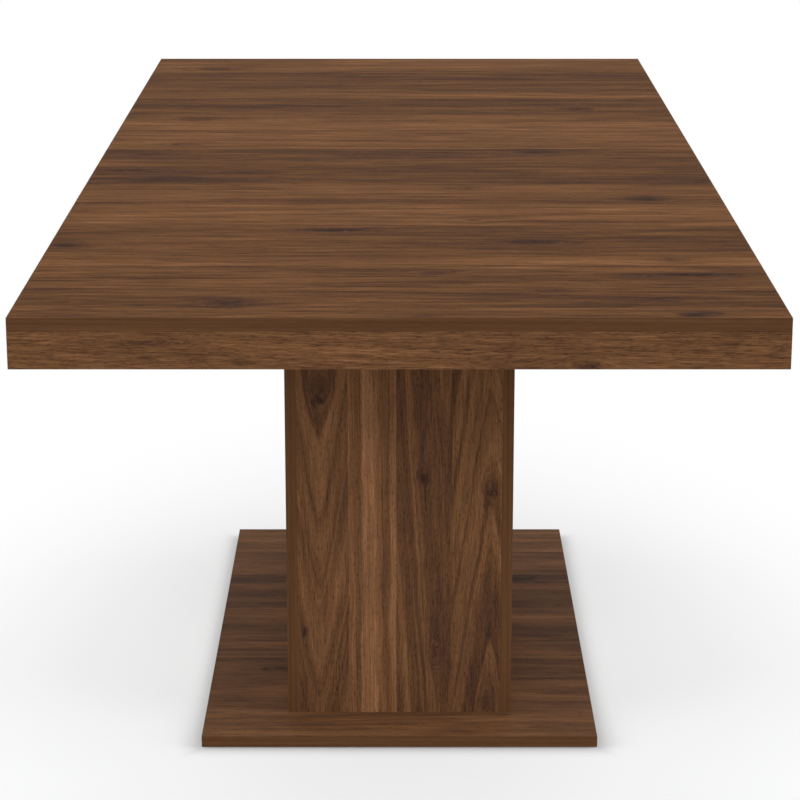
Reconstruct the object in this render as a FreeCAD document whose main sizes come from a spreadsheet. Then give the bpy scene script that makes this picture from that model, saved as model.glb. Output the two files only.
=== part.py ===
import FreeCAD, Part
import math
import os

import Sketcher

# Extending dining table on a box column.
# Two half-tops run apart on rails in two steel channels. In each channel a pinion between
# two racks keeps the halves in step, and a folded leaf lies stored between the channels.
# X runs across the table, Y along it, Z up. The origin is on the floor under the middle.

doc = FreeCAD.newDocument("ExtendingTable")

# Driving sizes, in millimetres, degrees or counts
driving_sizes = {
    # whole table
    "top_length": 2000,
    "top_width": 900,
    "table_height": 770,
    "board_thick": 16,
    "band_thick": 1,
    "band_round": 0.5,
    "seam_gap": 0.4,
    "apron_height": 45,
    # plinth
    "base_length": 914,
    "base_width": 564,
    "glide_height": 2,
    "glide_radius": 14,
    "glide_inset": 40,
    "glide_round": 0.8,
    # column
    "column_depth": 734,
    "column_width": 324,
    "top_plate_thick": 22,
    "cleat_size": 25,
    "bolt_radius": 4,
    "bolt_length": 30,
    "bolt_head_radius": 6.5,
    "bolt_head_height": 5,
    "bolt_recess_spare": 1,
    "bolt_inner_place": 100,
    "bolt_outer_place": 280,
    "dowel_radius": 4,
    "dowel_length": 32,
    "dowel_hold": 10,
    "dowel_end_inset": 46,
    "cam_radius": 7.5,
    "cam_depth": 12.5,
    "cam_reach": 34,
    "cam_bolt_radius": 3.5,
    "cam_hold": 11,
    "cam_end_inset": 125,
    # steel cross bearers
    "bearer_width": 40,
    "bearer_height": 8,
    "steel_wall": 2,
    "bearer_screw_inset": 46,
    # guide channels and rails
    "leaf_side_room": 20.2,
    "channel_length": 700,
    "neck_reach": 8,
    "rail_width": 14,
    "neck_width": 10,
    "rail_play": 0.3,
    "rail_outer_end": 600,
    "rail_screw_far_inset": 40,
    "rail_screw_near_place": 80,
    "screw_recess_play": 0.2,
    "rail_screw_count": 4,
    # rack and pinion
    "gear_module": 2,
    "pinion_teeth": 16,
    "pressure_angle": 20,
    "pinion_addendum": 2,
    "rack_addendum": 1.7,
    "tooth_dedendum": 2.5,
    "tooth_thinning": 0.15,
    "rack_back": 2,
    "rack_stop_length": 6,
    "rack_tail_spare": 2,
    "gear_face": 17.4,
    "travel_spare": 4,
    "axle_radius": 4,
    "axle_collar_radius": 6.5,
    "axle_collar_height": 3,
    "axle_end_height": 2,
    "clip_thick": 1.2,
    # small screws and rivets
    "screw_radius": 2,
    "screw_length": 36,
    "screw_bite": 12,
    "screw_head_radius": 3.6,
    "screw_head_height": 2.2,
    "short_screw_length": 26,
    "rivet_radius": 2.5,
    "rivet_head_radius": 5,
    # half-tops
    "batten_width": 60,
    "batten_gap": 30,
    "batten_screw_inset": 74,
    "corner_leg": 42,
    "corner_height": 36,
    # seam pins and their sockets
    "pin_radius": 4,
    "pin_hold": 14,
    "pin_reach": 10,
    "pin_play": 0.3,
    "socket_depth": 15,
    "pin_side_inset": 80,
    "pin_pitch": 250,
    # stored leaf
    "leaf_length": 500,
    "pad_thick": 3,
    "pad_size": 30,
    "pad_side_inset": 45,
    "fold_gap": 0.6,
    "leaf_clearance": 1.4,
    "hinge_radius": 5,
    "hinge_depth": 14,
    "hinge_link_thick": 3,
    "hinge_link_width": 8,
    "hinge_end_inset": 70,
    "rest_width": 16,
    "rest_overhang": 10,
    "rest_play": 0.4,
    "rest_side_gap": 1.2,
    # swivel latches
    "latch_side_inset": 36,
    "latch_setback": 15,
    "latch_thick": 4,
    "latch_drop": 5,
    "latch_eye_radius": 8,
    "latch_arm_width": 16,
    "latch_jaw": 5.5,
    "latch_pin_radius": 3,
    "latch_slot_play": 0.5,
    "latch_head_height": 2,
    "latch_head_radius": 6,
    # fits
    "running_gap": 0.05,
    "fastener_gap": 0.05,
    "cut_overrun": 5,
}

sheet = doc.addObject("Spreadsheet::Sheet", "Sizes")
for row, (alias, number) in enumerate(driving_sizes.items(), start=1):
    sheet.set(f"A{row}", alias.replace("_", " "))
    sheet.set(f"B{row}", str(number))
    sheet.setAlias(f"B{row}", alias)
doc.recompute()


class Size:
    # a size known both as a number and as a formula on the sheet
    def __init__(self, value, text):
        self.value = value
        self.text = text

    def combine(self, other, sign, value):
        text = other.text if isinstance(other, Size) else str(other)
        return Size(value, f"({self.text} {sign} {text})")

    def __add__(self, other):
        return self.combine(other, "+", self.value + number_of(other))

    def __sub__(self, other):
        return self.combine(other, "-", self.value - number_of(other))

    def __mul__(self, other):
        return self.combine(other, "*", self.value * number_of(other))

    def __truediv__(self, other):
        return self.combine(other, "/", self.value / number_of(other))

    def __neg__(self):
        return Size(-self.value, f"(-1 * {self.text})")


def number_of(size):
    return size.value if isinstance(size, Size) else size


def cell(alias):
    return Size(float(sheet.get(alias)), f"Sizes.{alias}")


zero = Size(0.0, "0")

# Named sizes read from the sheet
top_length = cell("top_length")
top_width = cell("top_width")
board = cell("board_thick")
band = cell("band_thick")
apron_height = cell("apron_height")
base_length = cell("base_length")
base_width = cell("base_width")
glide_height = cell("glide_height")
column_depth = cell("column_depth")
column_width = cell("column_width")
bearer_width = cell("bearer_width")
bearer_height = cell("bearer_height")
wall = cell("steel_wall")
rail_width = cell("rail_width")
neck_width = cell("neck_width")
rail_play = cell("rail_play")
module = cell("gear_module")
teeth = cell("pinion_teeth")
gear_face = cell("gear_face")
gap = cell("fastener_gap")
overrun = cell("cut_overrun")
screw_radius = cell("screw_radius")
screw_head_radius = cell("screw_head_radius")
screw_head_height = cell("screw_head_height")
pin_radius = cell("pin_radius")
pin_play = cell("pin_play")

# Places across and along the table
half_length = top_length / 2
half_width = top_width / 2
seam_face = cell("seam_gap") / 2
half_column_width = column_width / 2
half_column_depth = column_depth / 2
column_inside = half_column_width - board
half_leaf = cell("leaf_length") / 2
leaf_middle = top_width / 4
bearer_pitch = half_leaf
batten_reach = half_width - board
latch_place = half_width - cell("latch_side_inset")
slide_travel = half_leaf + cell("travel_spare")

# Heights, from the floor up
base_top = glide_height + board
top_under = cell("table_height") - board
leaf_stack = cell("pad_thick") + board * 2 + cell("fold_gap") + cell("leaf_clearance")
column_top = top_under - leaf_stack - bearer_height
bearer_top = column_top + bearer_height
channel_top = top_under - cell("neck_reach")
channel_floor = bearer_top + wall
rail_low = channel_floor + rail_play
rail_shoulder = channel_top - wall - rail_play
screw_seat = top_under + cell("screw_bite") - cell("screw_length")
seam_pin_height = top_under + board / 2
gear_low = channel_floor + cell("axle_collar_height") + rail_play

# Rack and pinion, measured from the pinion's axis
pitch_radius = module * teeth / 2
tooth_pitch = module * Size(math.pi, "pi")
rack_tip = pitch_radius - cell("rack_addendum")
rack_root = pitch_radius + cell("tooth_dedendum")
rail_inner_face = rack_root + cell("rack_back")
neck_outer_face = rail_inner_face + neck_width
rail_outer_face = rail_inner_face + rail_width
channel_inner = rail_outer_face + rail_play
channel_outer = channel_inner + wall
channel_offset = leaf_middle + cell("leaf_side_room") + channel_outer
rack_spare_count = 3
rack_lead_share = 1.5
rack_count_value = math.ceil(slide_travel.value / tooth_pitch.value) + rack_spare_count
rack_gap_count = Size(
    rack_count_value,
    f"(ceil({slide_travel.text} / {tooth_pitch.text}) + {rack_spare_count})",
)
rack_start = tooth_pitch * rack_lead_share
rack_end = tooth_pitch * (rack_gap_count - rack_lead_share) + cell("rack_stop_length")
rail_tail = rack_end + cell("rack_tail_spare")
rest_inner = channel_offset + channel_outer + cell("rest_side_gap")
rest_outer = rest_inner + cell("rest_width")

kept = []


def keep(item, label):
    # names a finished sub-part, which is written to a file of that name
    item.Label = label
    kept.append(item)
    return item


def place(item, x, y, z):
    # ties the place of an object to the sheet
    item.setExpression("Placement.Base.x", x.text)
    item.setExpression("Placement.Base.y", y.text)
    item.setExpression("Placement.Base.z", z.text)


def tie(item, **sizes):
    for name, size in sizes.items():
        item.setExpression(name, size.text)


def box(low, size):
    item = doc.addObject("Part::Box", "Block")
    tie(item, Length=size[0], Width=size[1], Height=size[2])
    place(item, *low)
    return item


def block(low, high):
    # a box between two opposite corners
    return box(low, [top - bottom for bottom, top in zip(low, high)])


def middle_block(centre, half_size, low, high):
    # a box centred at X and Y of centre, from the height low to high
    start = (centre[0] - half_size[0], centre[1] - half_size[1], low)
    return box(start, (half_size[0] * 2, half_size[1] * 2, high - low))


axis_turns = {
    "x": FreeCAD.Rotation(FreeCAD.Vector(0, 1, 0), 90),
    "y": FreeCAD.Rotation(FreeCAD.Vector(1, 0, 0), -90),
    "z": FreeCAD.Rotation(),
}


def rod(start, radius, length, axis="z"):
    # a cylinder that starts at a point and runs along +X, +Y or +Z
    item = doc.addObject("Part::Cylinder", "Rod")
    tie(item, Radius=radius, Height=length)
    item.Placement = FreeCAD.Placement(FreeCAD.Vector(), axis_turns[axis])
    place(item, *start)
    return item


def fuse(items):
    joined = doc.addObject("Part::MultiFuse", "Joined")
    joined.Shapes = items
    return joined


def group(items):
    bundle = doc.addObject("Part::Compound", "Bundle")
    bundle.Links = items
    return bundle


def cut(base, tools):
    result = doc.addObject("Part::Cut", "Cut")
    result.Base = base
    result.Tool = tools[0] if len(tools) == 1 else group(tools)
    return result


def common(base, tool):
    result = doc.addObject("Part::Common", "Common")
    result.Base = base
    result.Tool = tool
    return result


def turn_half(item):
    # turns an object half a turn about the table's upright middle axis
    base = item.Placement.Base
    ties = dict(item.ExpressionEngine)
    half_turn = FreeCAD.Rotation(FreeCAD.Vector(0, 0, 1), 180)
    item.Placement = FreeCAD.Placement(base, half_turn.multiply(item.Placement.Rotation))
    for axis in "xy":
        text = ties.get(f".Placement.Base.{axis}") or ties.get(f"Placement.Base.{axis}")
        if text:
            item.setExpression(f"Placement.Base.{axis}", f"-1 * ({text})")


# Sketches on the origin planes of a body


def new_body(name):
    return doc.addObject("PartDesign::Body", name)


def new_sketch(body, plane, name):
    sketch = body.newObject("Sketcher::SketchObject", name)
    support = [f for f in body.Origin.OriginFeatures if f.Role == plane][0]
    sketch.AttachmentSupport = [(support, "")]
    sketch.MapMode = "FlatFace"
    return sketch


def tie_corner(sketch, line, kind, size):
    axis = -2 if kind == "DistanceX" else -1
    if size.value == 0:
        sketch.addConstraint(Sketcher.Constraint("PointOnObject", line, 1, axis))
    elif size.value > 0:
        number = sketch.addConstraint(Sketcher.Constraint(kind, -1, 1, line, 1, size.value))
        sketch.setExpression(f"Constraints[{number}]", size.text)
    else:
        number = sketch.addConstraint(Sketcher.Constraint(kind, line, 1, -1, 1, -size.value))
        sketch.setExpression(f"Constraints[{number}]", (-size).text)


def outline(body, plane, corners, name):
    # a closed outline of straight lines whose corners are tied to the sheet
    sketch = new_sketch(body, plane, name)
    points = [FreeCAD.Vector(x.value, y.value, 0) for x, y in corners]
    for number, point in enumerate(points):
        following = points[(number + 1) % len(points)]
        sketch.addGeometry(Part.LineSegment(point, following))
    for number in range(len(points)):
        following = (number + 1) % len(points)
        sketch.addConstraint(Sketcher.Constraint("Coincident", number, 2, following, 1))
    for number, (x, y) in enumerate(corners):
        tie_corner(sketch, number, "DistanceX", x)
        tie_corner(sketch, number, "DistanceY", y)
    return sketch


def pad(body, sketch, length, side="One side", backwards=False):
    feature = body.newObject("PartDesign::Pad", "Pad")
    feature.Profile = sketch
    feature.SideType = side
    feature.Reversed = backwards
    tie(feature, Length=length)
    body.Tip = feature
    return feature


def pocket(body, sketch, length, side="One side", backwards=False):
    feature = body.newObject("PartDesign::Pocket", "Pocket")
    feature.Profile = sketch
    feature.SideType = side
    feature.Reversed = backwards
    tie(feature, Length=length)
    body.Tip = feature
    return feature


def rounded_block(low, high):
    # a box between two opposite corners with all its edges rounded as an edge band is
    body = new_body("RoundedBlock")
    corners = [(low[0], low[1]), (high[0], low[1]), (high[0], high[1]), (low[0], high[1])]
    feature = pad(body, outline(body, "XY_Plane", corners, "BlockOutline"), high[2] - low[2])
    rounding = body.newObject("PartDesign::Fillet", "Rounding")
    rounding.Base = (feature, [""])
    rounding.UseAllEdges = True
    tie(rounding, Radius=cell("band_round"))
    body.Tip = rounding
    place(body, zero, zero, low[2])
    return body


def rounded_ring(low, high):
    # the four edge-band strips round a board: the end strips run over its full width, and the
    # side strips fit between them
    blank = rounded_block(low, high)
    (left, near, bottom), (right, far, top) = low, high
    side_near = near + band
    side_far = far - band
    spans = [
        (left - overrun, near - overrun, right + overrun, side_near),
        (left - overrun, side_far, right + overrun, far + overrun),
        (left - overrun, side_near, left + band, side_far),
        (right - band, side_near, right + overrun, side_far),
    ]
    strips = []
    for x_low, y_low, x_high, y_high in spans:
        window = block((x_low, y_low, bottom - overrun), (x_high, y_high, top + overrun))
        strips.append(common(blank, window))
    return strips


# Fasteners: each is made with its head's seat at the start point


def screw(seat, length, upwards=True):
    # a pan-head screw that runs up or down from its seat
    if upwards:
        head = rod((seat[0], seat[1], seat[2] - screw_head_height), screw_head_radius, screw_head_height)
        shank = rod(seat, screw_radius, length)
    else:
        head = rod(seat, screw_head_radius, screw_head_height)
        shank = rod((seat[0], seat[1], seat[2] - length), screw_radius, length)
    return fuse([head, shank])


def screw_hole(x, y, low, high):
    # the hole that a screw's shank passes or bites into
    return rod((x, y, low), screw_radius + gap, high - low)


# Plinth


def make_plinth():
    inner_length = base_length / 2 - band
    inner_width = base_width / 2 - band
    plate = block((-inner_width, -inner_length, glide_height), (inner_width, inner_length, base_top))
    spare = cell("bolt_recess_spare")
    recess = cell("bolt_head_height") + spare
    holes = []
    for x, y in bolt_places():
        start = (x, y, glide_height - overrun)
        holes.append(rod(start, cell("bolt_radius") + gap, board + overrun * 2))
        holes.append(rod(start, cell("bolt_head_radius") + spare, recess + overrun))
    keep(cut(plate, holes), "base_plate")

    low = (-base_width / 2, -base_length / 2, glide_height)
    high = (base_width / 2, base_length / 2, base_top)
    keep(group(rounded_ring(low, high)), "base_edge_bands")

    glides = []
    x_place = base_width / 2 - cell("glide_inset")
    y_place = base_length / 2 - cell("glide_inset")
    for x in (-x_place, x_place):
        for y in (-y_place, zero, y_place):
            glides.append(glide(x, y))
    keep(group(glides), "base_glides")


def glide(x, y):
    # a round pad turned from its half profile, with a rounded lower edge
    radius = cell("glide_radius")
    rounding = cell("glide_round")
    body = new_body("Glide")
    corners = [
        (zero, zero),
        (radius - rounding, zero),
        (radius, rounding),
        (radius, glide_height),
        (zero, glide_height),
    ]
    sketch = outline(body, "XZ_Plane", corners, "GlideProfile")
    feature = body.newObject("PartDesign::Revolution", "Turning")
    feature.Profile = sketch
    feature.ReferenceAxis = (sketch, ["V_Axis"])
    feature.Angle = 360
    body.Tip = feature
    place(body, x, y, zero)
    return body


# Column

bolt_line = column_inside - cell("cleat_size") / 2


def bolt_places():
    places = []
    for x in (-bolt_line, bolt_line):
        for y in (cell("bolt_inner_place"), cell("bolt_outer_place")):
            places.append((x, y))
            places.append((x, -y))
    return places


def joint_heights(inset, with_middle):
    # the same distance from both ends of the column, and half-way up
    heights = [base_top + inset, column_top - inset]
    if with_middle:
        heights.append((base_top + column_top) / 2)
    return heights


def side_joint_tools(front, extra):
    # dowels and cam fittings of both side edges of the front or the rear panel:
    # the fasteners themselves where extra is zero, or the holes that take them
    y_inner = half_column_depth - board
    y_middle = y_inner + board / 2
    dowels, cams = [], []
    for side in (-1, 1):
        for z in joint_heights(cell("dowel_end_inset"), True):
            near = column_inside - cell("dowel_length") + cell("dowel_hold") - extra
            length = cell("dowel_length") + extra * 2
            start = near if side > 0 else -near - length
            y = -y_middle if front else y_middle
            radius = cell("dowel_radius") + extra
            dowels.append(rod((start, y, z), radius, length, "x"))
        for z in joint_heights(cell("cam_end_inset"), False):
            x = column_inside - cell("cam_reach")
            length = cell("cam_reach") + cell("cam_hold") + extra
            start = x if side > 0 else -x - length
            y = -y_middle if front else y_middle
            bolt = rod((start, y, z), cell("cam_bolt_radius") + extra, length, "x")
            depth = cell("cam_depth") + extra
            disc_y = -y_inner - depth if front else y_inner
            disc_x = x if side > 0 else -x
            disc = rod((disc_x, disc_y, z), cell("cam_radius") + extra, depth, "y")
            cams.append(fuse([bolt, disc]))
    return dowels, cams


def make_column():
    top = column_top
    for name, side in (("column_panel_left", -1), ("column_panel_right", 1)):
        low_x = column_inside if side > 0 else -half_column_width
        deep = half_column_depth - band
        panel = box((low_x, -deep, base_top), (board, deep * 2, top - base_top))
        tools = []
        for front in (True, False):
            dowels, cams = side_joint_tools(front, gap)
            tools += dowels + cams
        keep(cut(panel, tools), name)

    for name, front in (("column_panel_front", True), ("column_panel_rear", False)):
        low_y = -half_column_depth if front else half_column_depth - board
        panel = box((-column_inside, low_y, base_top), (column_inside * 2, board, top - base_top))
        dowels, cams = side_joint_tools(front, gap)
        keep(cut(panel, dowels + cams), name)

    low = (-half_column_width, -half_column_depth, base_top - overrun)
    high = (half_column_width, half_column_depth, top + overrun)
    blank = rounded_block(low, high)
    strip_size = (board + overrun, band + overrun, top - base_top)
    strips = []
    for low_x in (-half_column_width - overrun, column_inside):
        for low_y in (-half_column_depth - overrun, half_column_depth - band):
            strips.append(common(blank, box((low_x, low_y, base_top), strip_size)))
    keep(group(strips), "column_edge_bands")

    front_joints = side_joint_tools(True, zero)
    rear_joints = side_joint_tools(False, zero)
    keep(group(front_joints[0] + rear_joints[0]), "column_dowels")
    keep(group(front_joints[1] + rear_joints[1]), "column_cam_fittings")

    inside_depth = half_column_depth - board
    plate_low = top - cell("top_plate_thick")
    plate = block((-column_inside, -inside_depth, plate_low), (column_inside, inside_depth, top))
    holes = [
        screw_hole(x, y, top - cell("short_screw_length") + bearer_height - gap, top + overrun)
        for x, y in bearer_screw_places(plate_screw_line)
    ]
    keep(cut(plate, holes), "column_top_plate")

    brace_half = board / 2
    brace = block((-column_inside, -brace_half, base_top), (column_inside, brace_half, plate_low))
    keep(brace, "column_mid_brace")

    cleat = cell("cleat_size")
    cleats = []
    for side in (-1, 1):
        low_x = column_inside - cleat if side > 0 else -column_inside
        for low_y in (-inside_depth, brace_half):
            size = (cleat, inside_depth - brace_half, cleat)
            cleats.append(box((low_x, low_y, base_top), size))
    bolt_top = bolt_seat() + cell("bolt_length")
    holes = [
        rod((x, y, base_top - overrun), cell("bolt_radius") + gap, bolt_top + gap - base_top + overrun)
        for x, y in bolt_places()
    ]
    keep(cut(group(cleats), holes), "column_floor_cleats")

    bolts = []
    for x, y in bolt_places():
        head_low = bolt_seat() - cell("bolt_head_height")
        head = rod((x, y, head_low), cell("bolt_head_radius"), cell("bolt_head_height"))
        socket_depth = cell("bolt_head_height") / 2
        socket = rod((x, y, head_low - overrun), cell("bolt_radius"), socket_depth + overrun)
        shank = rod((x, y, bolt_seat()), cell("bolt_radius"), cell("bolt_length"))
        bolts.append(cut(fuse([head, shank]), [socket]))
    keep(group(bolts), "base_bolts")


def bolt_seat():
    return glide_height + cell("bolt_head_height") + cell("bolt_recess_spare")


# Steel frame on the column


plate_screw_line = column_inside - cell("bearer_screw_inset")
rest_screw_line = rest_inner + cell("rest_width") / 2


def bearer_screw_places(line):
    return [(x, y) for x in (-line, line) for y in (-bearer_pitch, zero, bearer_pitch)]


def make_bearers():
    half = bearer_width / 2
    inner = half - wall
    web_low = bearer_height - wall
    corners = [
        (-half, zero),
        (-half, bearer_height),
        (half, bearer_height),
        (half, zero),
        (inner, zero),
        (inner, web_low),
        (-inner, web_low),
        (-inner, zero),
    ]
    places = {
        "cross_bearer_front": -bearer_pitch,
        "cross_bearer_middle": zero,
        "cross_bearer_rear": bearer_pitch,
    }
    for name, y in places.items():
        body = new_body("Bearer")
        sketch = outline(body, "YZ_Plane", corners, "BearerProfile")
        pad(body, sketch, rest_outer * 2, "Symmetric")
        place(body, zero, y, column_top)
        low = bearer_top - wall - overrun
        height = wall + overrun * 2
        tools = []
        for x in (plate_screw_line, rest_screw_line):
            for place_x in (-x, x):
                tools.append(rod((place_x, y, low), screw_radius + gap, height))
        stud = "axle_radius" if name == "cross_bearer_middle" else "rivet_radius"
        for place_x in (-channel_offset, channel_offset):
            tools.append(rod((place_x, y, low), cell(stud) + gap, height))
        keep(cut(body, tools), name)

    screws = []
    for x, y in bearer_screw_places(plate_screw_line):
        screws.append(screw((x, y, bearer_top), cell("short_screw_length"), upwards=False))
    for x, y in bearer_screw_places(rest_screw_line):
        screws.append(screw((x, y, bearer_top - wall), cell("short_screw_length")))
    keep(group(screws), "bearer_screws")


def make_channels():
    height = channel_top - bearer_top
    lip_edge = neck_outer_face + rail_play
    lip_low = height - wall
    corners = [
        (-channel_outer, zero),
        (channel_outer, zero),
        (channel_outer, height),
        (lip_edge, height),
        (lip_edge, lip_low),
        (channel_inner, lip_low),
        (channel_inner, wall),
        (-channel_inner, wall),
        (-channel_inner, lip_low),
        (-lip_edge, lip_low),
        (-lip_edge, height),
        (-channel_outer, height),
    ]
    for name, x in (("guide_channel_left", -channel_offset), ("guide_channel_right", channel_offset)):
        body = new_body("Channel")
        sketch = outline(body, "XZ_Plane", corners, "ChannelProfile")
        pad(body, sketch, cell("channel_length"), "Symmetric")
        place(body, x, zero, bearer_top)
        low = bearer_top - overrun
        tools = [rod((x, zero, low), cell("axle_radius") + gap, wall + overrun * 2)]
        for y in (-bearer_pitch, bearer_pitch):
            tools.append(rod((x, y, low), cell("rivet_radius") + gap, wall + overrun * 2))
        keep(cut(body, tools), name)

    rivets = []
    for x in (-channel_offset, channel_offset):
        for y in (-bearer_pitch, bearer_pitch):
            shank_low = bearer_top - wall
            head = rod((x, y, channel_floor), cell("rivet_head_radius"), screw_head_height)
            shank = rod((x, y, shank_low), cell("rivet_radius"), wall * 2)
            foot = rod((x, y, shank_low - wall), cell("rivet_head_radius"), wall)
            rivets.append(fuse([head, shank, foot]))
    keep(group(rivets), "channel_rivets")


def make_axles():
    pieces = []
    for x in (-channel_offset, channel_offset):
        web_low = bearer_top - wall
        foot_radius = cell("axle_collar_radius")
        foot = rod((x, zero, web_low - wall), foot_radius, wall)
        collar = rod((x, zero, channel_floor), foot_radius, cell("axle_collar_height"))
        clip_low = gear_low + gear_face + rail_play
        shank_top = clip_low + cell("clip_thick") + cell("axle_end_height")
        shank = rod((x, zero, web_low), cell("axle_radius"), shank_top - web_low)
        pieces.append(fuse([foot, collar, shank]))
        ring = rod((x, zero, clip_low), foot_radius, cell("clip_thick"))
        bore_length = cell("clip_thick") + overrun * 2
        bore = rod((x, zero, clip_low - overrun), cell("axle_radius") + gap, bore_length)
        pieces.append(cut(ring, [bore]))
    keep(group(pieces), "pinion_axles")


# Rack and pinion


def involute_angle(angle):
    return math.tan(angle) - angle


def pinion_outline(pitch_r, base_r, tip_r, root_r, half_tooth):
    # one wire round the gear: for each tooth a root arc, a flank, a tip arc and a flank
    flank_count = 5
    count = round(teeth.value)
    step = 2 * math.pi / count
    pressure = math.radians(cell("pressure_angle").value)

    def polar(radius, angle):
        return FreeCAD.Vector(radius * math.cos(angle), radius * math.sin(angle), 0)

    def flank_half_angle(radius):
        at_radius = math.acos(base_r / radius)
        return half_tooth / pitch_r + involute_angle(pressure) - involute_angle(at_radius)

    radii = [base_r + (tip_r - base_r) * i / (flank_count - 1) for i in range(flank_count)]
    halves = [flank_half_angle(radius) for radius in radii]
    edges = []
    for tooth in range(count):
        middle = tooth * step
        rising = [polar(r, middle - a) for r, a in zip(radii, halves)]
        falling = [polar(r, middle + a) for r, a in zip(radii, halves)][::-1]
        root_in = polar(root_r, middle - halves[0])
        root_out = polar(root_r, middle + halves[0])
        next_root = polar(root_r, middle + step - halves[0])
        up = Part.BSplineCurve()
        up.interpolate(rising)
        down = Part.BSplineCurve()
        down.interpolate(falling)
        edges.append(Part.LineSegment(root_in, rising[0]).toShape())
        edges.append(up.toShape())
        edges.append(Part.Arc(rising[-1], polar(tip_r, middle), falling[0]).toShape())
        edges.append(down.toShape())
        edges.append(Part.LineSegment(falling[-1], root_out).toShape())
        edges.append(Part.Arc(root_out, polar(root_r, middle + step / 2), next_root).toShape())
    return Part.Wire(Part.__sortEdges__(edges))


def make_pinions():
    pressure = math.radians(cell("pressure_angle").value)
    pitch_r = pitch_radius.value
    base_r = pitch_r * math.cos(pressure)
    tip_r = pitch_r + cell("pinion_addendum").value
    root_r = pitch_r - cell("tooth_dedendum").value
    half_tooth = (tooth_pitch.value / 2 - cell("tooth_thinning").value) / 2
    wire = pinion_outline(pitch_r, base_r, tip_r, root_r, half_tooth)
    blank = Part.Face(wire).extrude(FreeCAD.Vector(0, 0, gear_face.value))
    bore_r = cell("axle_radius").value + cell("running_gap").value
    gear = blank.cut(Part.makeCylinder(bore_r, gear_face.value))
    for name, x in (("pinion_left", -channel_offset), ("pinion_right", channel_offset)):
        item = doc.addObject("Part::Feature", "Pinion")
        item.Shape = gear
        place(item, x, zero, gear_low)
        keep(item, name)


def rack():
    # a toothed bar: its tooth side faces +X and its first tooth gap is one pitch behind zero
    back = -rail_inner_face
    tip = -rack_tip
    root = -rack_root
    body = new_body("Rack")
    bar_corners = [(back, -rack_start), (tip, -rack_start), (tip, rack_end), (back, rack_end)]
    bar = outline(body, "XY_Plane", bar_corners, "BarOutline")
    pad(body, bar, gear_face)

    slope = Size(
        math.tan(math.radians(cell("pressure_angle").value)),
        f"tan({cell('pressure_angle').text} * 1deg)",
    )
    half_gap = tooth_pitch / 4 + cell("tooth_thinning") / 2
    root_half = half_gap - cell("tooth_dedendum") * slope
    mouth = tip + overrun
    mouth_half = half_gap + (cell("rack_addendum") + overrun) * slope
    gap_corners = [
        (root, -tooth_pitch - root_half),
        (mouth, -tooth_pitch - mouth_half),
        (mouth, -tooth_pitch + mouth_half),
        (root, -tooth_pitch + root_half),
    ]
    opening = outline(body, "XY_Plane", gap_corners, "ToothGap")
    tooth_gap = pocket(body, opening, gear_face, backwards=True)
    row = body.newObject("PartDesign::LinearPattern", "ToothRow")
    row.Originals = [tooth_gap]
    row.Direction = (opening, ["V_Axis"])
    row.Mode = "Extent"
    tie(row, Length=tooth_pitch * (rack_gap_count - 1), Occurrences=rack_gap_count)
    body.Tip = row
    return body


def rail(x):
    # a headed rail: a wide foot for the channel and a neck that reaches the board, which is
    # cut away at the tail so that the tail passes under the other half
    foot_height = rail_shoulder - rail_low
    body = new_body("Rail")
    corners = [
        (-rail_outer_face, zero),
        (-rail_inner_face, zero),
        (-rail_inner_face, top_under - rail_low),
        (-neck_outer_face, top_under - rail_low),
        (-neck_outer_face, foot_height),
        (-rail_outer_face, foot_height),
    ]
    profile = outline(body, "XZ_Plane", corners, "RailProfile")
    rail_length = cell("rail_outer_end") + rail_tail
    pad(body, profile, rail_length)
    tail_corners = [
        (-neck_outer_face - overrun, foot_height),
        (-rail_inner_face + overrun, foot_height),
        (-rail_inner_face + overrun, top_under - rail_low + overrun),
        (-neck_outer_face - overrun, top_under - rail_low + overrun),
    ]
    tail = outline(body, "XZ_Plane", tail_corners, "TailCut")
    pocket(body, tail, rail_tail + cell("cut_overrun"), backwards=True)
    place(body, x, rail_tail, rail_low)

    tools = []
    for hole_x, y in rail_screw_places(x):
        tools.append(screw_hole(hole_x, y, rail_low - overrun, top_under + overrun))
        recess_radius = screw_head_radius + cell("screw_recess_play")
        low = rail_low - overrun
        tools.append(rod((hole_x, y, low), recess_radius, screw_seat - low))
    return cut(body, tools)


def rail_screw_places(x):
    first = cell("rail_outer_end") - cell("rail_screw_far_inset")
    count = round(cell("rail_screw_count").value)
    step = (first - cell("rail_screw_near_place")) / (count - 1)
    line = x - rail_inner_face - neck_width / 2
    return [(line, step * number - first) for number in range(count)]


# Half-tops: both are one assembly, and the rear one is turned half a turn


def batten_places():
    low = cell("rail_outer_end") + cell("batten_gap")
    line = -low - cell("batten_width") / 2
    outer = batten_reach - cell("batten_screw_inset")
    places = []
    for x in (outer / 2, outer):
        places += [(-x, line), (x, line)]
    return places


def seam_pin_places():
    outer = half_width - cell("pin_side_inset")
    return [outer - cell("pin_pitch"), outer]


def seam_tools():
    # the holes in the seam face: for pins on the right, and sockets on the left
    tools = []
    for x in seam_pin_places():
        depth = cell("pin_hold") + gap
        start = (x, -seam_face - depth, seam_pin_height)
        tools.append(rod(start, pin_radius + gap, depth + overrun, "y"))
        depth = cell("socket_depth")
        start = (-x, -seam_face - depth, seam_pin_height)
        tools.append(rod(start, pin_radius + pin_play, depth + overrun, "y"))
    return tools


def make_board(end):
    inner_x = half_width - band
    far = -(end - band)
    near = -(seam_face + band)
    table_top = top_under + board
    blank = block((-inner_x, far, top_under), (inner_x, near, table_top))
    tools = seam_tools()
    for x, y in all_board_screws():
        tools.append(screw_hole(x, y, top_under - overrun, top_under + cell("screw_bite") + gap))
    return cut(blank, tools)


def all_board_screws():
    places = []
    for x in (-channel_offset, channel_offset):
        places += rail_screw_places(x)
    return places + batten_places()


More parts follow.
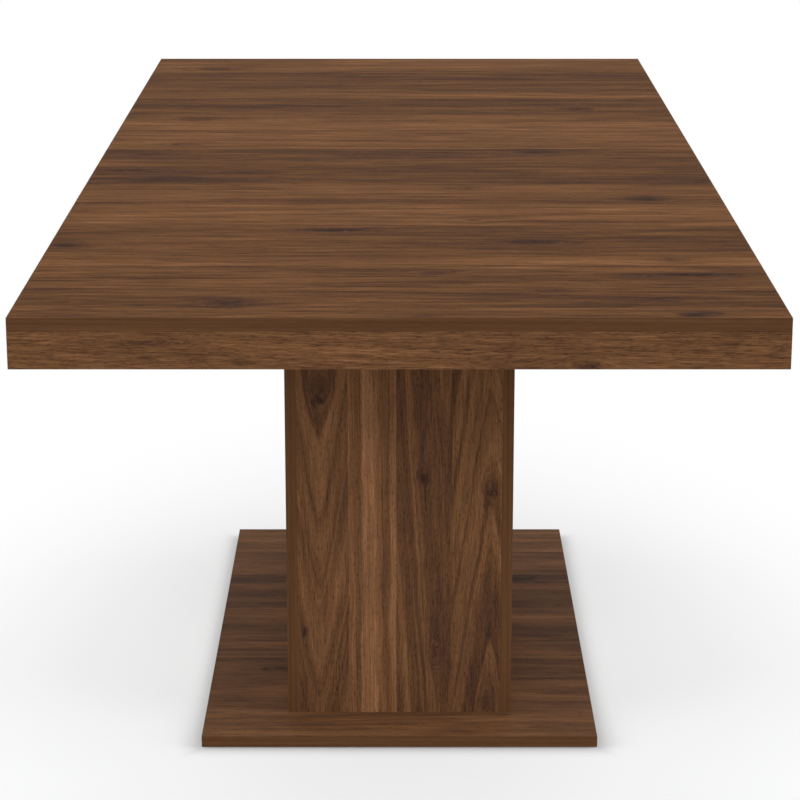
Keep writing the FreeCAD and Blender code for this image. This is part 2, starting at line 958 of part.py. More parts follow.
def make_edge_bands(end):
    low = (-half_width, -end, top_under)
    high = (half_width, -seam_face, top_under + board)
    end_strip, seam_strip, left_strip, right_strip = rounded_ring(low, high)
    return group([end_strip, left_strip, right_strip, cut(seam_strip, seam_tools())])


def make_corner_blocks(end):
    # three-cornered glue blocks in the two corners of the aprons
    leg = cell("corner_leg")
    height = cell("corner_height")
    blocks = []
    for side in (-1, 1):
        body = new_body("CornerBlock")
        if side > 0:
            corners = [(zero, zero), (zero, leg), (-leg, zero)]
        else:
            corners = [(zero, zero), (leg, zero), (zero, leg)]
        pad(body, outline(body, "XY_Plane", corners, "CornerOutline"), height)
        x = half_width - board
        place(body, x if side > 0 else -x, board - end, top_under - height)
        blocks.append(body)
    return group(blocks)


def latch_slot(x, y, centre_radius, half_slot):
    # the part of a ring round the pivot that the striker pin sweeps into the hook
    height = cell("latch_thick") + overrun * 2
    low = latch_low - overrun
    outer = rod((x, y, low), centre_radius + half_slot, height)
    inner = rod((x, y, low), centre_radius - half_slot, height)
    ring = cut(outer, [inner])
    reach = cell("latch_arm_width")
    window = box((x, y, low), (reach, centre_radius * 2, height))
    closed_end = rod((x, y + centre_radius, low), half_slot, height)
    return fuse([common(ring, window), closed_end])


latch_top = top_under - cell("latch_drop")
latch_low = latch_top - cell("latch_thick")


def make_latch():
    # a flat lever whose hook takes the striker pin, drawn in its locked position
    x = latch_place
    y = -cell("latch_setback")
    thick = cell("latch_thick")
    centre_radius = cell("latch_setback") * 2
    half_slot = cell("latch_pin_radius") + cell("latch_slot_play")
    half_arm = cell("latch_arm_width") / 2
    eye = rod((x, y, latch_low), cell("latch_eye_radius"), thick)
    length = centre_radius + half_slot + cell("latch_jaw")
    arm = box((x - half_arm, y, latch_low), (half_arm * 2, length, thick))
    bore_radius = cell("latch_pin_radius") + cell("running_gap")
    bore = rod((x, y, latch_low - overrun), bore_radius, thick + overrun * 2)
    return cut(fuse([eye, arm]), [bore, latch_slot(x, y, centre_radius, half_slot)])


def quarter_turn(item, x, y):
    # turns an object a quarter turn about an upright line at X and Y, which takes a point
    # (x, y) seen from the origin to (-y, x)
    turn = FreeCAD.Rotation(FreeCAD.Vector(0, 0, 1), 90)
    item.Placement = FreeCAD.Placement(FreeCAD.Vector(), turn)
    item.setExpression("Placement.Base.x", f"{x.text} + {y.text}")
    item.setExpression("Placement.Base.y", f"{y.text} - {x.text}")


def make_half_top(prefix, turned):
    end = half_length
    apron_low = top_under - apron_height
    pieces = {}
    pieces["top_board"] = make_board(end)
    pieces["edge_bands"] = make_edge_bands(end)
    pieces["end_apron"] = box((-half_width, -end, apron_low), (top_width, board, apron_height))
    side_length = end - board - seam_face
    side_size = (board, side_length, apron_height)
    pieces["side_apron_left"] = box((-half_width, board - end, apron_low), side_size)
    pieces["side_apron_right"] = box((half_width - board, board - end, apron_low), side_size)
    pieces["corner_blocks"] = make_corner_blocks(end)

    far = -(cell("rail_outer_end") + cell("batten_gap") + cell("batten_width"))
    batten_size = (batten_reach * 2, cell("batten_width"), top_under - screw_seat)
    batten = box((-batten_reach, far, screw_seat), batten_size)
    holes = [
        screw_hole(x, y, screw_seat - overrun, top_under + overrun)
        for x, y in batten_places()
    ]
    pieces["batten"] = cut(batten, holes)

    for side, x in (("left", -channel_offset), ("right", channel_offset)):
        pieces[f"rail_{side}"] = rail(x)
        bar = rack()
        place(bar, x, zero, gear_low)
        pieces[f"rack_{side}"] = bar

    screws = [screw((x, y, screw_seat), cell("screw_length")) for x, y in all_board_screws()]
    pieces["screws"] = group(screws)

    pins = []
    for x in seam_pin_places():
        start = (x, -seam_face - cell("pin_hold"), seam_pin_height)
        pins.append(rod(start, pin_radius, cell("pin_hold") + seam_face + cell("pin_reach"), "y"))
    pieces["seam_pins"] = group(pins)

    # latch pivot on the right and striker on the left, both fixed under the board
    x = latch_place
    y = -cell("latch_setback")
    radius = cell("latch_pin_radius")
    play = rail_play
    head_low = latch_low - play - cell("latch_head_height")
    head = rod((x, y, head_low), cell("latch_head_radius"), cell("latch_head_height"))
    pin = rod((x, y, head_low), radius, top_under - head_low)
    spacer = rod((x, y, latch_top + play), cell("latch_head_radius"), top_under - latch_top - play)
    striker = rod((-x, y, latch_low - play), radius, top_under - latch_low + play)
    flange = rod((-x, y, latch_top + play), cell("latch_head_radius"), top_under - latch_top - play)
    pieces["latch_studs"] = group([fuse([head, pin, spacer]), fuse([striker, flange])])

    for name, item in pieces.items():
        if turned:
            turn_half(item)
        keep(item, f"{prefix}_{name}")

    # the lever rests swung inwards, a quarter turn from its locked position
    lever = make_latch()
    quarter_turn(lever, x, y)
    if turned:
        turn_half(lever)
    keep(lever, "latch_lever_left" if turned else "latch_lever_right")


# Stored leaf


def leaf_pin_line(place_x):
    # where a seam position lies on the folded leaf
    return leaf_middle - place_x


def make_leaf_half(low, pins_front):
    blank = block((-leaf_middle, -half_leaf, low), (leaf_middle, half_leaf, low + board))
    middle = low + board / 2
    tools = []
    for place_x in seam_pin_places():
        x = leaf_pin_line(place_x)
        pin_depth = cell("pin_hold") + gap
        socket_depth = cell("socket_depth")
        if pins_front:
            pin_start = (x, -half_leaf - overrun, middle)
            socket_start = (x, half_leaf - socket_depth, middle)
        else:
            pin_start = (x, half_leaf - pin_depth, middle)
            socket_start = (x, -half_leaf - overrun, middle)
        tools.append(rod(pin_start, pin_radius + gap, pin_depth + overrun, "y"))
        tools.append(rod(socket_start, pin_radius + pin_play, socket_depth + overrun, "y"))
    for y in hinge_places():
        depth = cell("hinge_depth") + gap
        start = (leaf_middle - depth, y, middle)
        tools.append(rod(start, cell("hinge_radius") + gap, depth + overrun, "x"))
    return cut(blank, tools)


def hinge_places():
    outer = half_leaf - cell("hinge_end_inset")
    return [-outer, zero, outer]


def make_leaf():
    lower = bearer_top + cell("pad_thick")
    upper = lower + board + cell("fold_gap")
    keep(make_leaf_half(lower, True), "leaf_lower_half")
    keep(make_leaf_half(upper, False), "leaf_upper_half")

    length = cell("pin_hold") + cell("pin_reach")
    pins = []
    for place_x in seam_pin_places():
        x = leaf_pin_line(place_x)
        front_start = (x, -half_leaf - cell("pin_reach"), lower + board / 2)
        pins.append(rod(front_start, pin_radius, length, "y"))
        rear_start = (x, half_leaf - cell("pin_hold"), upper + board / 2)
        pins.append(rod(rear_start, pin_radius, length, "y"))
    keep(group(pins), "leaf_pins")

    # barrel hinges: a barrel in the edge of each half and a link that joins them outside
    hinges = []
    for y in hinge_places():
        barrels = []
        for low in (lower, upper):
            start = (leaf_middle - cell("hinge_depth"), y, low + board / 2)
            barrels.append(rod(start, cell("hinge_radius"), cell("hinge_depth"), "x"))
        half_link = cell("hinge_link_width") / 2
        link_low = lower + board / 2 - half_link
        link_high = upper + board / 2 + half_link
        link_start = (leaf_middle, y - half_link, link_low)
        link_size = (cell("hinge_link_thick"), half_link * 2, link_high - link_low)
        hinges.append(fuse(barrels + [box(link_start, link_size)]))
    keep(group(hinges), "leaf_hinges")

    pads = []
    half_pad = cell("pad_size") / 2
    x_pad = leaf_middle - cell("pad_side_inset")
    y_pad = half_leaf - half_pad
    for x in (-x_pad, x_pad):
        for y in (-y_pad, zero, y_pad):
            pads.append(middle_block((x, y), (half_pad, half_pad), bearer_top, lower))
    keep(group(pads), "leaf_pads")

    rests = []
    rest_high = top_under - cell("rest_play")
    half_rest = bearer_pitch + bearer_width / 2 + cell("rest_overhang")
    for side in (-1, 1):
        low_x = rest_inner if side > 0 else -rest_outer
        size = (cell("rest_width"), half_rest * 2, rest_high - bearer_top)
        rests.append(box((low_x, -half_rest, bearer_top), size))
    screw_top = bearer_top - wall + cell("short_screw_length") + gap
    holes = [
        screw_hole(x, y, bearer_top - overrun, screw_top)
        for x, y in bearer_screw_places(rest_screw_line)
    ]
    keep(cut(group(rests), holes), "leaf_rests")


make_plinth()
make_column()
make_bearers()
make_channels()
make_axles()
make_pinions()
make_half_top("front", False)
make_half_top("rear", True)
make_leaf()

doc.recompute()

# Every object is checked before anything is written
faults = []
for item in doc.Objects:
    if "Invalid" in item.State or "Error" in item.State:
        faults.append(f"{item.Label}: {item.State}")
for item in kept:
    if item.Shape.isNull() or not item.Shape.isValid():
        faults.append(f"{item.Label}: shape")
if faults:
    raise RuntimeError("failed objects: " + "; ".join(faults))

os.makedirs("parts", exist_ok=True)
for item in kept:
    item.Shape.exportStep(f"parts/{item.Label}.step")
    volume = item.Shape.Volume / 1000
    print(f"{item.Label}: {len(item.Shape.Solids)} solids, {volume:.1f} cm3")
print(f"{len(kept)} sub-parts")
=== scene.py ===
import math

import bpy
import numpy as np
from mathutils import Euler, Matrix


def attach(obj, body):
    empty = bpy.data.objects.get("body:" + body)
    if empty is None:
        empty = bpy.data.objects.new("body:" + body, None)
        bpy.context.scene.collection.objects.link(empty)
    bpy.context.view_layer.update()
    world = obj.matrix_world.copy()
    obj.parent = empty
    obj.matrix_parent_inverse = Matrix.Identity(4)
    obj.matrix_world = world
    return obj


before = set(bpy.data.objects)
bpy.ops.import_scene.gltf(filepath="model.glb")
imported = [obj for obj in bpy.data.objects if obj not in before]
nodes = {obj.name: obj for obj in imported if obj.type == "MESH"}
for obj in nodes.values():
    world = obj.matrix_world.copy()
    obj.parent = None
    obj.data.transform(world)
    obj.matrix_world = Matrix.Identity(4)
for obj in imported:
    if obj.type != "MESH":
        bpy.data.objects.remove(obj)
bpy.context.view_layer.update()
print("frame loaded:", len(nodes), "CAD nodes")

# Extending dining table. X runs across it, Y along it, Z up, all in metres.


# Small helpers for materials

def linearColour(red, green, blue):
    # a colour seen as 0 to 255 on the screen, as the linear values that a shader takes
    shares = np.array([red, green, blue]) / 255
    linear = np.where(shares <= 0.04045, shares / 12.92, ((shares + 0.055) / 1.055) ** 2.4)
    return (*linear.tolist(), 1.0)


class Field:
    # a number that varies over a surface, so that a pattern reads as a formula
    def __init__(self, tree, socket):
        self.tree = tree
        self.socket = socket

    def math(self, operation, *others, clamp=False):
        node = self.tree.nodes.new("ShaderNodeMath")
        node.operation = operation
        node.use_clamp = clamp
        for slot, value in zip(node.inputs, (self, *others)):
            plug(self.tree, value, slot)
        return Field(self.tree, node.outputs[0])

    def __add__(self, other):
        return self.math("ADD", other)

    def __sub__(self, other):
        return self.math("SUBTRACT", other)

    def __rsub__(self, other):
        return self.math("MULTIPLY", -1.0) + other

    def __mul__(self, other):
        return self.math("MULTIPLY", other)

    def __truediv__(self, other):
        return self.math("DIVIDE", other)

    def bell(self):
        # one where the field is zero, falling to nothing within about two units
        return (self * self * -1.0).math("EXPONENT")

    def step(self, low, high):
        # rises smoothly from 0 at low to 1 at high
        node = self.tree.nodes.new("ShaderNodeMapRange")
        node.interpolation_type = "SMOOTHSTEP"
        plug(self.tree, self, node.inputs["Value"])
        node.inputs["From Min"].default_value = low
        node.inputs["From Max"].default_value = high
        return Field(self.tree, node.outputs["Result"])


def plug(tree, value, slot):
    if isinstance(value, Field):
        tree.links.new(value.socket, slot)
    else:
        slot.default_value = value


def newMaterial(name, **sockets):
    # a Principled material whose even values are set on the shader's own sockets
    material = bpy.data.materials.new(name)
    material.use_nodes = True
    shader = material.node_tree.nodes["Principled BSDF"]
    for label, value in sockets.items():
        shader.inputs[label.replace("_", " ")].default_value = value
    return material, material.node_tree, shader


def objectFields(tree):
    # X, Y and Z of the point, in metres
    place = tree.nodes.new("ShaderNodeTexCoord")
    split = tree.nodes.new("ShaderNodeSeparateXYZ")
    tree.links.new(place.outputs["Object"], split.inputs[0])
    return {axis: Field(tree, split.outputs[axis]) for axis in "XYZ"}


def noise(along, across, alongScale, acrossScale, depth=0.0, detail=2.0, roughness=0.5):
    # soft noise about 0.5, with its own scale along and across the grain
    tree = along.tree
    place = tree.nodes.new("ShaderNodeCombineXYZ")
    plug(tree, along * alongScale, place.inputs[0])
    plug(tree, across * acrossScale, place.inputs[1])
    plug(tree, depth, place.inputs[2])
    node = tree.nodes.new("ShaderNodeTexNoise")
    tree.links.new(place.outputs[0], node.inputs["Vector"])
    node.inputs["Scale"].default_value = 1.0
    node.inputs["Detail"].default_value = detail
    node.inputs["Roughness"].default_value = roughness
    return Field(tree, node.outputs["Fac"])


def colourRamp(field, stops):
    # stops are (place from 0 to 1, colour)
    node = field.tree.nodes.new("ShaderNodeValToRGB")
    ramp = node.color_ramp
    while len(ramp.elements) < len(stops):
        ramp.elements.new(0.5)
    for element, (position, colour) in zip(ramp.elements, stops):
        element.position = position
        element.color = colour
    plug(field.tree, field, node.inputs["Fac"])
    return node


def colourBy(tree, shader, field, tones):
    # the field picks the base colour; tones are (place from 0 to 1, colour as on the screen)
    ramp = colourRamp(field, [(place, linearColour(*tone)) for place, tone in tones])
    tree.links.new(ramp.outputs["Color"], shader.inputs["Base Color"])


def mixColours(factor, first, second):
    # factor 0 gives the first colour, 1 the second
    tree = factor.tree
    node = tree.nodes.new("ShaderNodeMix")
    node.data_type = "RGBA"
    plug(tree, factor, node.inputs["Factor"])
    for label, value in (("A", first), ("B", second)):
        target = [s for s in node.inputs if s.name == label and s.type == "RGBA"][0]
        if isinstance(value, tuple):
            target.default_value = value
        else:
            tree.links.new(value, target)
    return [s for s in node.outputs if s.type == "RGBA"][0]


def raiseBump(tree, shader, height, strength, distance):
    node = tree.nodes.new("ShaderNodeBump")
    node.inputs["Strength"].default_value = strength
    node.inputs["Distance"].default_value = distance
    plug(tree, height, node.inputs["Height"])
    tree.links.new(node.outputs["Normal"], shader.inputs["Normal"])


# Walnut decor

walnutStops = [
    (0.00, linearColour(38, 27, 22)),
    (0.22, linearColour(67, 46, 34)),
    (0.42, linearColour(91, 62, 41)),
    (0.60, linearColour(110, 76, 49)),
    (0.78, linearColour(130, 91, 62)),
    (1.00, linearColour(158, 115, 82)),
]
plumTint = linearColour(82, 57, 47)

# what all walnut boards share
walnutLook = {
    # a plank's seed grows by this step, and its noise is taken that many units deeper
    "seedStep": 0.377, "seedDepth": 40.0,
    # a heart line is kept in a colour channel, shrunk and moved to lie between 0 and 1
    "heartShare": 0.5, "heartShift": 0.25,
    # how far a knot pushes the grain, how sharp its dark core is, and how ragged its edge
    "knotTwist": 1.6, "knotPush": 0.9, "coreSharpness": 3.5, "raggedAlong": 0.05,
    "raggedAcross": 0.02, "haloFrom": 1.1, "haloDepth": 0.6,
    # dark clouds and knots take on a plum tint
    "plumFrom": 0.60, "plumRise": 3.0, "plumHalo": 0.6, "plumMost": 0.35,
    "roughness": 0.60, "roughSpread": 0.10,
    "fineBump": 0.35, "bumpStrength": 0.22, "bumpDistance": 0.0003,
}

# each layer of noise: its depth, detail and roughness
noiseLayers = {
    "slow": (0.0, 2.0, 0.5), "quick": (5.0, 2.0, 0.5), "ragged": (31.0, 3.0, 0.6),
    "zones": (29.0, 2.0, 0.5), "rings": (0.0, 3.0, 0.65), "streaks": (7.0, 5.0, 0.72),
    "fine": (3.0, 3.0, 0.7), "flecks": (43.0, 2.0, 0.5), "pores": (11.0, 1.0, 0.5),
    "clouds": (17.0, 3.0, 0.6),
}


def plankRamp(across, settings):
    # the tone, heart line, seed and lean of each plank, kept as the four channels of one
    # stepped ramp across the board
    share = (across - settings["start"]) / settings["width"]
    stops = []
    shrink, shift = walnutLook["heartShare"], walnutLook["heartShift"]
    for number, (begin, tone, heart, lean) in enumerate(settings["planks"]):
        seed = (number * walnutLook["seedStep"] + settings["seed"]) % 1.0
        packedHeart = heart / settings["width"] * shrink + shift
        stops.append((begin / settings["width"], (tone, packedHeart, seed, lean)))
    node = colourRamp(share, stops)
    node.color_ramp.interpolation = "CONSTANT"
    split = share.tree.nodes.new("ShaderNodeSeparateColor")
    share.tree.links.new(node.outputs["Color"], split.inputs[0])
    tone, heart, seed = (Field(share.tree, split.outputs[n]) for n in range(3))
    heartPlace = (heart - shift) * (settings["width"] / shrink) + settings["start"]
    return tone, heartPlace, seed, Field(share.tree, node.outputs["Alpha"]) - 0.5


def knotFields(along, across, spots):
    # a knot is a bell that pushes the grain aside and is dark in its middle; a spot is its
    # place along and across the grain, its length, its width and its darkness
    push = halo = dark = None
    for alongPlace, acrossPlace, length, width, strength in spots:
        far = (along - alongPlace) / length
        off = (across - acrossPlace) / width
        bell = ((far * far + off * off) * -1.0).math("EXPONENT")
        turn = (off * walnutLook["knotTwist"]).math("TANH")
        aside = bell * turn * (width * walnutLook["knotPush"])
        core = bell.math("POWER", walnutLook["coreSharpness"]) * strength
        push = aside if push is None else push + aside
        halo = bell * strength if halo is None else halo + bell * strength
        dark = core if dark is None else dark + core
    return push, halo, dark


def walnut(name, settings):
    look = walnutLook
    material, tree, shader = newMaterial(
        name, Roughness=look["roughness"], IOR=1.45, Specular_IOR_Level=settings["gloss"]
    )
    place = objectFields(tree)
    along = place[settings["along"]]
    across = place[settings["across"]]
    tone, heart, seed, lean = plankRamp(across, settings)
    depth = seed * look["seedDepth"]

    def layer(label, way, turn):
        shift, detail, roughness = noiseLayers[label]
        return noise(way, turn, *settings[label], depth + shift, detail, roughness)

    # the grain wanders, and knots push it aside
    wander = (layer("slow", along, across) - 0.5) * settings["wander"]
    ripple = (layer("quick", along, across) - 0.5) * settings["ripple"]
    ragged = layer("ragged", along, across) - 0.5
    push, halo, dark = knotFields(
        along + ragged * look["raggedAlong"], across + ragged * look["raggedAcross"],
        settings["knots"],
    )
    grain = across + wander + ripple - push

    # cathedral figure: the distance from the heart line plus a share of the way along gives
    # nested arches, and a heart line far off the plank gives straight grain
    side = grain - heart
    ring = (side * side + settings["tip"] * settings["tip"]).math("SQRT")
    ring = ring + along * lean * settings["taper"]
    zones = layer("zones", along, ring).step(*settings["zoneEdges"])
    rings = layer("rings", along, ring).step(*settings["ringEdges"])
    streaks = layer("streaks", along, grain)
    fine = layer("fine", along, grain)
    flecks = layer("flecks", along, grain).step(*settings["fleckEdges"])
    pores = layer("pores", along, grain).step(*settings["poreEdges"])
    cloud = layer("clouds", along, across)

    level = tone
    for field, share in (
        (rings, "ringDepth"), (zones, "zoneDepth"), (streaks, "streakDepth"),
        (fine, "fineDepth"), (cloud, "cloudDepth"),
    ):
        level = level + (field - 0.5) * settings[share]
    level = level - pores * settings["poreDepth"] - flecks * settings["fleckDepth"]
    level = level - dark * (fine + streaks)
    level = level - halo * (look["haloFrom"] - streaks) * look["haloDepth"]
    ramp = colourRamp(level, walnutStops)
    plumRise = settings["plum"] * look["plumRise"]
    plum = (look["plumFrom"] - cloud).math("MULTIPLY", plumRise, clamp=True)
    plum = (plum + halo * look["plumHalo"]).math("MINIMUM", look["plumMost"])
    tinted = mixColours(plum, ramp.outputs["Color"], plumTint)
    warm = tree.nodes.new("ShaderNodeHueSaturation")
    warm.inputs["Saturation"].default_value = settings["saturation"]
    warm.inputs["Value"].default_value = settings["value"]
    tree.links.new(tinted, warm.inputs["Color"])
    tree.links.new(warm.outputs["Color"], shader.inputs["Base Color"])

    matt = (fine - 0.5) * look["roughSpread"] + pores * look["roughSpread"] + look["roughness"]
    tree.links.new(matt.socket, shader.inputs["Roughness"])
    height = fine * look["fineBump"] - pores
    raiseBump(tree, shader, height, look["bumpStrength"], look["bumpDistance"])
    return material


# what a board has unless it says otherwise; a layer's pair is its scale along and across
grainBase = {
    "gloss": 0.006, "tip": 0.006, "taper": 0.5, "plum": 0.25, "saturation": 1.0, "value": 1.0,
    "slow": (2.4, 10.0), "wander": 0.016, "quick": (14.0, 45.0), "ripple": 0.004,
    "ragged": (40.0, 60.0),
    "zones": (0.6, 34.0), "zoneEdges": (0.40, 0.60), "zoneDepth": 0.14,
    "rings": (1.6, 240.0), "ringEdges": (0.30, 0.70), "ringDepth": 0.12,
    "streaks": (6.0, 140.0), "streakDepth": 0.86, "fine": (12.0, 420.0), "fineDepth": 0.80,
    "pores": (120.0, 900.0), "poreEdges": (0.54, 0.66), "poreDepth": 0.10,
    "flecks": (24.0, 170.0), "fleckEdges": (0.56, 0.72), "fleckDepth": 0.13,
    "clouds": (4.0, 24.0), "cloudDepth": 0.46,
}

topBoard = {
    **grainBase,
    "along": "X", "across": "Y", "start": -1.0, "width": 2.0, "seed": 0.13,
    "streakDepth": 0.94, "fineDepth": 0.98, "plum": 0.14, "saturation": 1.04, "value": 0.965,
    # each plank: where it begins behind the front edge, its tone, its heart line and its lean
    "planks": [
        (0.000, 0.62, 0.150, 0.50), (0.042, 0.47, 0.080, 0.66), (0.127, 0.49, 0.165, 0.34),
        (0.198, 0.50, 0.240, 0.58), (0.262, 0.62, 0.400, 0.48), (0.337, 0.47, 0.380, 0.64),
        (0.420, 0.46, 0.450, 0.38), (0.497, 0.62, 0.700, 0.50), (0.570, 0.62, 0.610, 0.60),
        (0.637, 0.49, 0.500, 0.50), (0.678, 0.63, 0.705, 0.42), (0.737, 0.59, 0.900, 0.50),
        (0.780, 0.42, 0.810, 0.60), (0.845, 0.48, 0.880, 0.40), (0.915, 0.55, 1.050, 0.50),
        (0.975, 0.46, 1.010, 0.62), (1.062, 0.63, 1.250, 0.50), (1.130, 0.59, 1.180, 0.40),
        (1.221, 0.64, 1.100, 0.50), (1.300, 0.61, 1.340, 0.60), (1.375, 0.43, 1.410, 0.40),
        (1.455, 0.40, 1.600, 0.50), (1.535, 0.65, 1.560, 0.62), (1.600, 0.48, 1.660, 0.40),
        (1.730, 0.41, 1.780, 0.60), (1.825, 0.59, 1.700, 0.50), (1.900, 0.65, 1.950, 0.42),
    ],
    # knots and smears: along, across, length, width, darkness
    "knots": (
        (0.342, -0.985, 0.034, 0.016, 0.40), (-0.202, -0.929, 0.045, 0.030, 0.26),
        (0.359, -0.785, 0.090, 0.014, 0.26), (0.183, -0.869, 0.030, 0.014, 0.16),
        (-0.426, -0.617, 0.030, 0.020, 0.26), (-0.093, -0.526, 0.060, 0.016, 0.40),
        (0.179, -0.599, 0.045, 0.018, 0.20), (0.340, -0.700, 0.030, 0.022, 0.20),
        (0.047, -0.770, 0.032, 0.020, 0.22), (0.100, -0.463, 0.024, 0.024, 0.24),
        (0.092, -0.244, 0.040, 0.020, 0.20), (0.344, -0.322, 0.036, 0.026, 0.36),
        (-0.327, -0.170, 0.040, 0.020, 0.16), (-0.400, -0.109, 0.070, 0.012, 0.22),
        (0.204, 0.037, 0.034, 0.022, 0.34), (-0.343, 0.105, 0.040, 0.022, 0.20),
        (-0.433, -0.350, 0.080, 0.010, 0.22), (0.301, 0.431, 0.050, 0.030, 0.18),
        (-0.336, 0.872, 0.050, 0.030, 0.20), (-0.333, 0.332, 0.040, 0.026, 0.18),
    ),
}

endApron = {
    **grainBase,
    "along": "X", "across": "Z", "start": 0.69, "width": 0.10, "seed": 0.71, "wander": 0.012,
    "zoneDepth": 0.05, "rings": (1.6, 380.0), "ringDepth": 0.16, "streaks": (10.0, 150.0),
    "streakDepth": 0.40, "fine": (34.0, 680.0), "fineDepth": 0.98, "poreDepth": 0.18,
    "fleckDepth": 0.09, "clouds": (6.0, 18.0), "cloudDepth": 0.20, "plum": 0.08,
    "planks": [(0.0, 0.565, 0.022, 0.58)],
    "knots": ((0.218, 0.714, 0.030, 0.009, 0.26), (-0.290, 0.742, 0.060, 0.004, 0.14)),
}

sideApron = {
    **endApron,
    "along": "Y", "seed": 0.33,
    "knots": ((-0.62, 0.720, 0.040, 0.009, 0.24), (0.35, 0.735, 0.050, 0.008, 0.20)),
}

columnFront = {
    **grainBase,
    "along": "Z", "across": "X", "start": -0.15, "width": 0.30, "seed": 0.45, "taper": 0.9,
    "zones": (0.6, 36.0), "zoneDepth": 0.22, "zoneEdges": (0.45, 0.55),
    "rings": (1.6, 300.0), "ringDepth": 0.16, "streaks": (3.5, 120.0), "streakDepth": 0.40,
    "fine": (16.0, 520.0), "fineDepth": 0.66, "pores": (120.0, 760.0), "poreDepth": 0.19,
    "flecks": (26.0, 330.0), "fleckDepth": 0.09,
    "clouds": (5.0, 16.0), "cloudDepth": 0.26, "wander": 0.015, "ripple": 0.0075, "plum": 0.22,
    "planks": [
        (0.000, 0.54, 0.035, 0.30), (0.077, 0.66, 0.260, 0.50), (0.145, 0.52, 0.215, 0.42),
        (0.225, 0.49, 0.281, 0.68),
    ],
    "knots": (
        (0.493, -0.112, 0.009, 0.005, 0.34), (0.520, -0.112, 0.050, 0.020, 0.08),
        (0.377, 0.035, 0.015, 0.009, 0.32), (0.141, -0.138, 0.010, 0.005, 0.26),
        (0.360, 0.132, 0.026, 0.014, 0.08), (0.355, 0.098, 0.014, 0.006, 0.14),
        (0.036, 0.128, 0.024, 0.015, 0.24), (0.105, 0.052, 0.030, 0.012, 0.08),
    ),
}

columnRear = {
    **columnFront,
    "seed": 0.83,
    "planks": [
        (0.000, 0.57, 0.290, 0.50), (0.077, 0.46, 0.112, 0.70), (0.147, 0.50, 0.180, 0.30),
        (0.225, 0.56, 0.060, 0.52),
    ],
    "knots": ((0.30, -0.036, 0.022, 0.012, 0.34), (0.56, 0.110, 0.026, 0.012, 0.26)),
}

columnSide = {
    **columnFront,
    "across": "Y", "start": -0.37, "width": 0.74, "seed": 0.21,
    "planks": [
        (0.000, 0.52, 0.062, 0.34), (0.084, 0.58, 0.200, 0.50), (0.154, 0.48, 0.262, 0.60),
        (0.226, 0.56, 0.120, 0.52), (0.304, 0.50, 0.326, 0.30), (0.386, 0.58, 0.300, 0.50),
        (0.452, 0.49, 0.580, 0.42), (0.530, 0.54, 0.450, 0.56), (0.600, 0.50, 0.652, 0.66),
        (0.678, 0.56, 0.600, 0.48),
    ],
    "knots": (
        (0.42, -0.180, 0.024, 0.012, 0.34), (0.20, 0.110, 0.026, 0.012, 0.28),
        (0.58, 0.260, 0.028, 0.014, 0.28),
    ),
}

basePlate = {
    **grainBase,
    "along": "X", "across": "Y", "start": -0.457, "width": 0.914, "seed": 0.57, "gloss": 0.03,
    "streaks": (9.0, 110.0), "streakDepth": 0.46, "fineDepth": 0.66,
    "clouds": (7.0, 22.0), "cloudDepth": 0.40,
    "planks": [
        (0.000, 0.55, 0.090, 0.50), (0.050, 0.52, 0.090, 0.60), (0.128, 0.55, 0.170, 0.42),
        (0.212, 0.44, 0.250, 0.56), (0.300, 0.50, 0.420, 0.50), (0.368, 0.44, 0.400, 0.60),
        (0.448, 0.59, 0.600, 0.50), (0.519, 0.43, 0.560, 0.42), (0.603, 0.48, 0.700, 0.50),
        (0.632, 0.39, 0.655, 0.50), (0.677, 0.58, 0.730, 0.58), (0.790, 0.64, 0.950, 0.50),
    ],
    "knots": ((-0.18, -0.20, 0.040, 0.016, 0.26), (0.20, 0.20, 0.040, 0.016, 0.26)),
}

leafBoard = {
    **grainBase,
    "along": "X", "across": "Y", "start": -0.26, "width": 0.52, "seed": 0.91,
    "planks": [
        (0.000, 0.55, 0.040, 0.40), (0.085, 0.49, 0.200, 0.50), (0.160, 0.59, 0.195, 0.60),
        (0.235, 0.50, 0.300, 0.50), (0.310, 0.56, 0.350, 0.42), (0.390, 0.49, 0.420, 0.58),
        (0.460, 0.57, 0.560, 0.50),
    ],
    "knots": ((0.08, -0.05, 0.040, 0.012, 0.30),),
}


# Edge bands: plain dark brown with faint streaks

bandLook = {
    "tones": [(0.15, (76, 50, 31)), (0.50, (86, 58, 37)), (0.90, (96, 66, 43))],
    # scale along and across the strip, depth, detail and roughness
    "streaks": (2.5, 260.0, 2.0, 3.0, 0.6), "streakDepth": 1.8, "hair": (45.0, 1400.0, 9.0, 2.0),
    # painted light: the plinth's and the column's strips are the same edge band as the top's,
    # made this much lighter in place of light they lack
    "plinthPaintedLift": 0.16, "columnPaintedLift": 0.12,
}


def edgeBand(name, upright=False, paintedLift=0.0):
    # streaks run along a strip: along Z on the column, and along X plus Y on flat boards
    material, tree, shader = newMaterial(name, Roughness=0.5, IOR=1.45, Specular_IOR_Level=0.02)
    place = objectFields(tree)
    flatWay = place["X"] + place["Y"]
    along, across = (place["Z"], flatWay) if upright else (flatWay, place["Z"])
    streaks = noise(along, across, *bandLook["streaks"])
    hair = noise(along, across, *bandLook["hair"])
    # the lift is painted light: it lightens a copy of the band where too little light falls on
    # it
    level = (streaks - 0.5) * bandLook["streakDepth"] + hair + paintedLift
    colourBy(tree, shader, level, bandLook["tones"])
    raiseBump(tree, shader, hair, strength=0.12, distance=0.0002)
    return material


# Plain woods and board under the top

